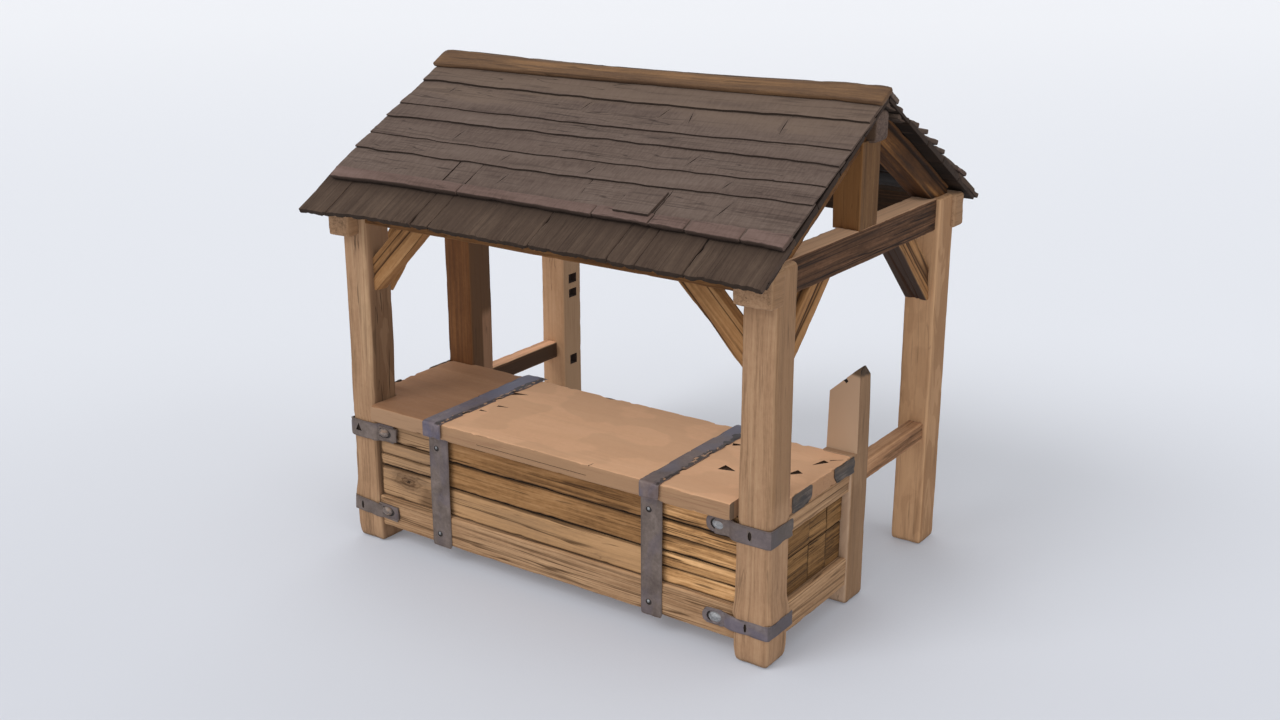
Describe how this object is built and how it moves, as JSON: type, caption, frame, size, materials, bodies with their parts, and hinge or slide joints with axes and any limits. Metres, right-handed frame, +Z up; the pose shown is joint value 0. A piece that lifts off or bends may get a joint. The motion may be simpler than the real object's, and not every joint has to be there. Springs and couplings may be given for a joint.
{
  "type": "wooden market stall",
  "caption": "A timber-framed market stall: posts, braces and tie beams under a lapped board gable roof, with a boarded counter, a thick worktop and iron straps.",
  "frame": {"origin": "the middle of the plan at ground level", "axes": "+X along the counter towards the customer's right-hand end, +Y towards the seller's side, +Z up"},
  "size_m": [3.12, 2.563, 2.98],
  "materials": {
    "frame_timber": "rough-sawn, weathered and unpainted",
    "counter_board": "rough-sawn, weathered and unpainted",
    "worktop_plank": "worn smooth by use",
    "roof_board": "darkened and weathered",
    "iron": "forged, dull and slightly rusted"
  },
  "bodies": {
    "root": {"back_boards": "counter_board", "band_lower_left": "iron", "band_lower_right": "iron", "band_upper_left": "iron", "band_upper_right": "iron", "end_boards_left": "counter_board", "end_boards_right": "counter_board", "end_plates_left": "iron", "end_plates_right": "iron", "end_rails_left": "frame_timber", "end_rails_right": "frame_timber", "front_boards": "counter_board", "front_brace_left": "frame_timber", "front_brace_right": "frame_timber", "front_plate": "frame_timber", "front_post_left": "frame_timber", "front_post_right": "frame_timber", "front_rail": "frame_timber", "front_strap_left": "iron", "front_strap_right": "iron", "gable_brace_front_left": "frame_timber", "gable_brace_front_right": "frame_timber", "gable_brace_rear_left": "frame_timber", "gable_brace_rear_right": "frame_timber", "king_post_left": "frame_timber", "king_post_right": "frame_timber", "mid_post_left": "frame_timber", "mid_post_right": "frame_timber", "rafter_front_left": "frame_timber", "rafter_front_right": "frame_timber", "rafter_rear_left": "frame_timber", "rafter_rear_right": "frame_timber", "rear_plate": "frame_timber", "rear_post_left": "frame_timber", "rear_post_right": "frame_timber", "ridge_beam": "frame_timber", "ridge_cap": "roof_board", "roof_front": "roof_board", "roof_rear": "roof_board", "side_rail_left": "frame_timber", "side_rail_right": "frame_timber", "tie_beam_left": "frame_timber", "tie_beam_right": "frame_timber", "worktop": "worktop_plank", "worktop_strap_left": "iron", "worktop_strap_right": "iron"}
  },
  "joints": []
}
